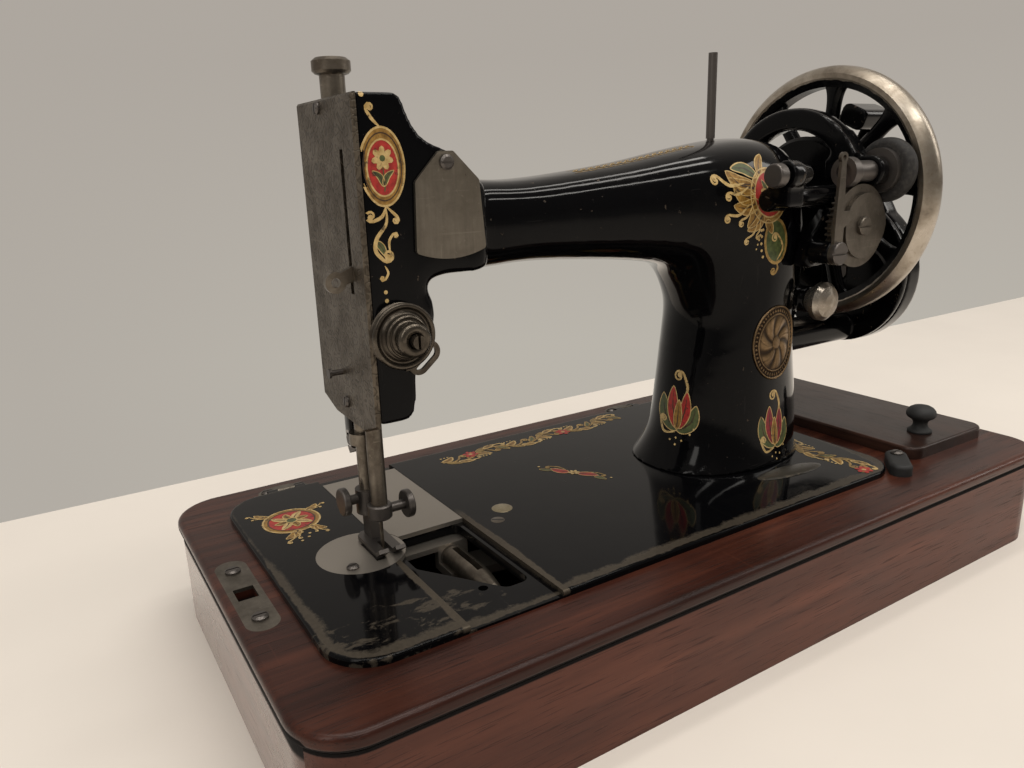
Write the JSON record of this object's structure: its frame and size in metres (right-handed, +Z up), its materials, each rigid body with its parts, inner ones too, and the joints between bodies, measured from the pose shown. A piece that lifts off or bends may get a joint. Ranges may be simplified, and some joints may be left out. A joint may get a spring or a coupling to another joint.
{
  "type": "hand crank sewing machine with case base",
  "caption": "Hand-cranked lockstitch sewing machine with a black cast arm, spoked handwheel, geared crank and bobbin winder, hinged on a wooden case base with a lidded tool compartment.",
  "frame": {"origin": "middle of the wooden base's underside", "axes": "+X towards the handwheel, +Y away from the person who sews, +Z up"},
  "size_m": [0.4628, 0.212, 0.2631],
  "materials": {
    "japan": "glossy black japan over cast iron, worn at the edges",
    "japanned_steel": "black japan over steel",
    "plate_steel": "dull worn nickel on steel",
    "nickel": "worn warm nickel",
    "dark_steel": "dark oxidised steel",
    "mahogany": "varnished reddish mahogany",
    "dark_wood": "dark brown varnished wood",
    "ebonised": "ebonised turned wood",
    "rubber": "black rubber"
  },
  "bodies": {
    "base": {"base_front": "mahogany", "base_back": "mahogany", "base_left_end": "mahogany", "base_right_end": "mahogany", "base_top": "mahogany", "base_floor": "dark_wood", "compartment_divider": "dark_wood", "lock_plate": "plate_steel", "base_screws": "dark_steel", "bed_hinge_leaves": "plate_steel", "hinge_pins": "dark_steel", "lid_rear_strip": "dark_wood", "lid_hinge_leaves": "plate_steel"},
    "lid": {"compartment_lid": "dark_wood", "lid_knob": "ebonised", "lid_hinge_straps": "plate_steel"},
    "button": {"turn_button": "ebonised"},
    "head": {"bed": "japan", "arm_casting": "japan", "needle_plate": "plate_steel", "head_screws": "dark_steel", "face_plate": "plate_steel", "tension_stud": "dark_steel", "tension_discs": "plate_steel", "check_spring": "dark_steel", "spool_pin": "dark_steel", "crank_bracket": "japan", "gear_cover": "japan"},
    "cover": {"arm_cover": "plate_steel"},
    "slide": {"slide_plate": "plate_steel"},
    "wheel": {"handwheel": "japan", "arm_shaft": "dark_steel"},
    "driver": {"driver_arm": "japanned_steel", "pinion": "dark_steel"},
    "crank": {"crank_gear": "dark_steel", "crank_arm": "japanned_steel"},
    "grip": {"handle_grip": "ebonised"},
    "needle_carrier": {"needle_bar": "nickel", "needle_clamp": "dark_steel", "clamp_screw": "dark_steel", "needle": "nickel"},
    "take_up": {"take_up_lever": "nickel"},
    "presser": {"presser_bar": "plate_steel", "presser_foot": "plate_steel", "foot_screw": "dark_steel", "presser_spring": "dark_steel"},
    "lifter": {"presser_lifter": "dark_steel"},
    "pressure_knob": {"pressure_screw": "nickel"},
    "nut": {"tension_nut": "nickel"},
    "winder": {"winder_frame": "japan", "guide_screw": "dark_steel"},
    "winder_pin": {"bobbin_pin": "nickel"},
    "spindle": {"winder_spindle": "nickel", "winder_tyre": "rubber"},
    "cam_wheel": {"worm_wheel": "plate_steel"},
    "thread_guide": {"guide_lever": "plate_steel"},
    "stitch": {"stitch_knob": "nickel"},
    "shuttle_lever": {"shuttle_carrier": "plate_steel", "shuttle": "nickel"},
    "feed": {"feed_dog": "dark_steel"}
  },
  "joints": [
    {"name": "head_tilt", "type": "hinge", "parent": "base", "child": "head", "pos_m": [0, 0.088, 0.0545], "axis": [-1, 0, 0], "range_deg": [0, 80]},
    {"name": "lid_open", "type": "hinge", "parent": "base", "child": "lid", "pos_m": [0.1665, 0.0815, 0.0595], "axis": [-1, 0, 0], "range_deg": [0, 13]},
    {"name": "turn_button_swivel", "type": "hinge", "parent": "base", "child": "button", "pos_m": [0.1215, -0.072, 0.053], "axis": [0, 0, 1], "range_deg": [0, 60]},
    {"name": "arm_cover_swivel", "type": "hinge", "parent": "head", "child": "cover", "pos_m": [-0.1195, -0.03225, 0.2155], "axis": [0, -1, 0], "range_deg": [0, 100]},
    {"name": "slide_plate_slide", "type": "slide", "parent": "head", "child": "slide", "axis": [0, 1, 0], "range_m": [0, 0.007]},
    {"name": "handwheel_spin", "type": "hinge", "parent": "head", "child": "wheel", "pos_m": [0.137, -0.002, 0.1915], "axis": [1, 0, 0], "continuous": true},
    {"name": "driver_spin", "type": "hinge", "parent": "head", "child": "driver", "pos_m": [0.1475, -0.002, 0.1915], "axis": [1, 0, 0], "continuous": true},
    {"name": "crank_spin", "type": "hinge", "parent": "head", "child": "crank", "pos_m": [0.1675, -0.002, 0.1467], "axis": [1, 0, 0], "continuous": true},
    {"name": "grip_spin", "type": "hinge", "parent": "crank", "child": "grip", "pos_m": [0.21, 0.051, 0.1507], "axis": [1, 0, 0], "continuous": true},
    {"name": "needle_bar_stroke", "type": "slide", "parent": "head", "child": "needle_carrier", "axis": [0, 0, 1], "range_m": [0, 0.026]},
    {"name": "take_up_swing", "type": "hinge", "parent": "head", "child": "take_up", "pos_m": [-0.1125, -0.018, 0.193], "axis": [0, 1, 0], "range_deg": [0, 48]},
    {"name": "shuttle_swing", "type": "hinge", "parent": "head", "child": "shuttle_lever", "pos_m": [-0.0075, -0.029, 0.039], "axis": [0, 0, 1], "range_deg": [-20, 0]},
    {"name": "feed_motion", "type": "slide", "parent": "head", "child": "feed", "axis": [0, 1, 0], "range_m": [-0.002, 0.002]},
    {"name": "presser_lift", "type": "slide", "parent": "head", "child": "presser", "axis": [0, 0, 1], "range_m": [0, 0.0045], "stiffness_N_per_m": 900, "springref_m": -0.012, "deforming": ["presser_spring"]},
    {"name": "lifter_swing", "type": "hinge", "parent": "head", "child": "lifter", "pos_m": [-0.1431, 0.0183, 0.1], "axis": [-1, 0, 0], "range_deg": [0, 30]},
    {"name": "pressure_screw_turn", "type": "hinge", "parent": "head", "child": "pressure_knob", "pos_m": [-0.1452, 0.0075, 0.253], "axis": [0, 0, 1], "range_deg": [-180, 180]},
    {"name": "tension_nut_turn", "type": "hinge", "parent": "head", "child": "nut", "pos_m": [-0.142, -0.039, 0.154], "axis": [0, -1, 0], "range_deg": [-180, 180]},
    {"name": "winder_tilt", "type": "hinge", "parent": "head", "child": "winder", "pos_m": [0.1105, 0.035, 0.2], "axis": [-1, 0, 0], "range_deg": [0, 4]},
    {"name": "bobbin_pin_slide", "type": "slide", "parent": "winder", "child": "winder_pin", "axis": [-1, 0, 0], "range_m": [0, 0.008], "stiffness_N_per_m": 200, "springref_m": -0.008},
    {"name": "winder_spin", "type": "hinge", "parent": "winder", "child": "spindle", "pos_m": [0.1105, -0.049, 0.205], "axis": [1, 0, 0], "continuous": true},
    {"name": "worm_wheel_spin", "type": "hinge", "parent": "winder", "child": "cam_wheel", "pos_m": [0.102, -0.049, 0.1786], "axis": [0, 1, 0], "continuous": true},
    {"name": "guide_swing", "type": "hinge", "parent": "winder", "child": "thread_guide", "pos_m": [0.08, -0.0555, 0.167], "axis": [0, 1, 0], "range_deg": [-6, 6], "stiffness_Nm_per_rad": 0.05},
    {"name": "stitch_knob_turn", "type": "hinge", "parent": "head", "child": "stitch", "pos_m": [0.0935, -0.036, 0.14], "axis": [0, -1, 0], "range_deg": [-180, 180]}
  ],
  "couplings": [
    {"joint": "driver_spin", "follows": "handwheel_spin", "ratio": 1},
    {"joint": "crank_spin", "follows": "handwheel_spin", "ratio": -0.33333},
    {"joint": "take_up_swing", "follows": "needle_bar_stroke", "rad_per_m": 32.2},
    {"joint": "shuttle_swing", "follows": "needle_bar_stroke", "rad_per_m": -13.4},
    {"joint": "feed_motion", "follows": "needle_bar_stroke", "ratio": 0.075},
    {"joint": "lifter_swing", "follows": "presser_lift", "rad_per_m": 116.3},
    {"joint": "worm_wheel_spin", "follows": "winder_spin", "ratio": 0.025}
  ]
}
